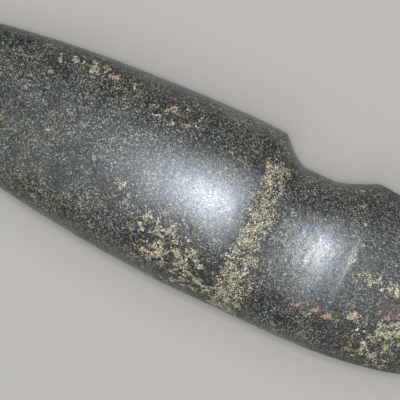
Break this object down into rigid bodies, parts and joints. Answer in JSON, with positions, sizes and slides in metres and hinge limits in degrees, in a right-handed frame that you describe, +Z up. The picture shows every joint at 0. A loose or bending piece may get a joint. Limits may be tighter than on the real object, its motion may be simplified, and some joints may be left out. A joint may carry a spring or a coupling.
{
  "type": "grooved stone axe head",
  "caption": "Polished stone axe head: a long blade with a convex cutting edge, a haft groove that stays open at the back edge, and a short rounded poll.",
  "frame": {"origin": "on the surface that the head lies on, below the centre of its bounding box", "axes": "+X along the head from the cutting edge to the poll, +Y towards the grooved edge, +Z up through the faces"},
  "size_m": [0.2188, 0.0632, 0.0495],
  "materials": {
    "polished_stone": "polished"
  },
  "bodies": {
    "root": {"axe_head": "polished_stone"}
  },
  "joints": []
}
